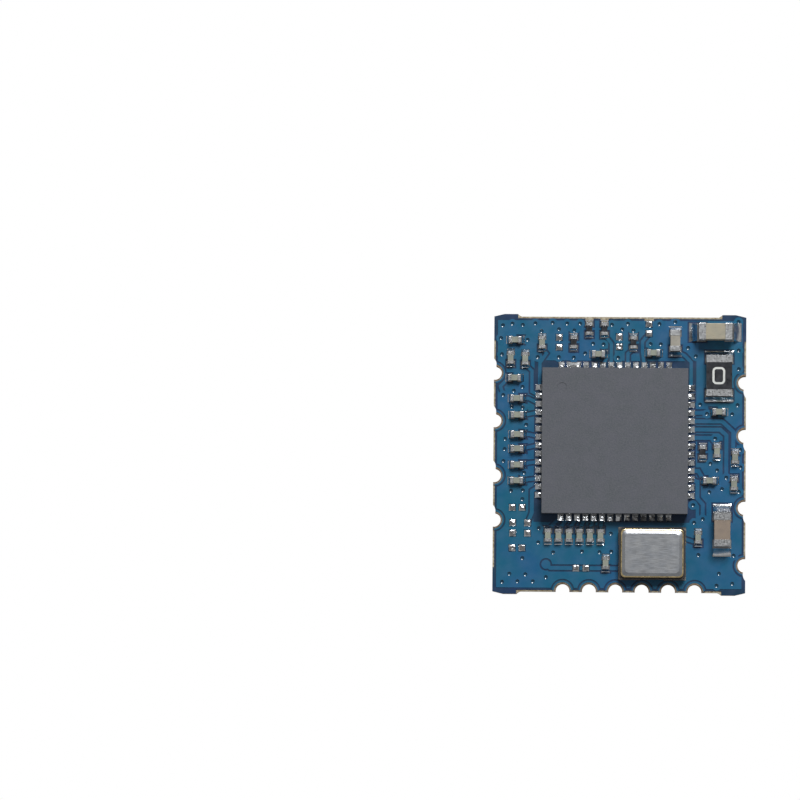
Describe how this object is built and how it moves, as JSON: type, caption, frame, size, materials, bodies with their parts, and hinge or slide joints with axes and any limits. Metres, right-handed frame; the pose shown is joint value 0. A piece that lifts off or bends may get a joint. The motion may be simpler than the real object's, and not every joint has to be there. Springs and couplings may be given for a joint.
{
  "type": "castellated wireless module",
  "caption": "Small blue circuit module with half-hole edge contacts, a square leadless chip, a metal-lidded crystal and soldered chip capacitors and resistors.",
  "frame": {"origin": "centre of the underside, on the plane that the module is soldered down by", "axes": "+X along the short side, towards the side with the large chip parts; +Y along the long side, towards the edge with no contacts; +Z out of the component side"},
  "size_m": [0.0122, 0.0136, 0.0017],
  "materials": {
    "laminate": "woven glass-epoxy, cut edge",
    "copper": "etched copper",
    "solder_mask": "semi-gloss blue solder mask",
    "gold_plating": "immersion gold",
    "mould_compound": "fine grained black epoxy",
    "tinned_lead": "matt tin",
    "silicon": "polished",
    "solder": "bright solder",
    "crystal_ceramic": "fired dark alumina",
    "seal_gold": "gold-plated seal ring",
    "lid_metal": "fine brushed nickel",
    "quartz": "clear",
    "capacitor_ceramic": "tan-grey ceramic",
    "large_capacitor_ceramic": "tan ceramic",
    "brown_capacitor_ceramic": "brown ceramic",
    "alumina": "white alumina",
    "overcoat": "black glaze",
    "termination": "tin-plated end"
  },
  "bodies": {
    "root": {"laminate": "laminate", "top_copper": "copper", "underside_copper": "gold_plating", "top_mask": "solder_mask", "underside_mask": "solder_mask", "left_edge_contacts": "gold_plating", "right_edge_contacts": "gold_plating", "bottom_edge_contacts": "gold_plating", "via_barrels": "copper", "via_plugs": "solder_mask", "chip_mould": "mould_compound", "chip_leads": "tinned_lead", "chip_die_pad": "tinned_lead", "chip_die": "silicon", "chip_lead_solder": "solder", "chip_pad_solder": "solder", "crystal_base": "crystal_ceramic", "crystal_seal_ring": "seal_gold", "crystal_lid": "lid_metal", "crystal_blank": "quartz", "crystal_terminals": "gold_plating", "crystal_solder": "solder", "top_cap_bodies": "capacitor_ceramic", "top_cap_ends": "termination", "top_cap_solder": "solder", "left_cap_bodies": "capacitor_ceramic", "left_cap_ends": "termination", "left_cap_solder": "solder", "row_cap_bodies": "capacitor_ceramic", "row_cap_ends": "termination", "row_cap_solder": "solder", "right_cap_bodies": "capacitor_ceramic", "right_cap_ends": "termination", "right_cap_solder": "solder", "crystal_cap_bodies": "capacitor_ceramic", "crystal_cap_ends": "termination", "crystal_cap_solder": "solder", "small_resistor_bodies": "alumina", "small_resistor_overcoats": "overcoat", "small_resistor_ends": "termination", "small_resistor_solder": "solder", "medium_cap_body": "capacitor_ceramic", "medium_cap_ends": "termination", "medium_cap_solder": "solder", "large_top_cap_body": "large_capacitor_ceramic", "large_top_cap_ends": "termination", "large_top_cap_solder": "solder", "large_right_cap_body": "brown_capacitor_ceramic", "large_right_cap_ends": "termination", "large_right_cap_solder": "solder", "link_body": "alumina", "link_overcoat": "overcoat", "link_ends": "termination", "link_solder": "solder", "bare_pad_solder": "solder"}
  },
  "joints": []
}
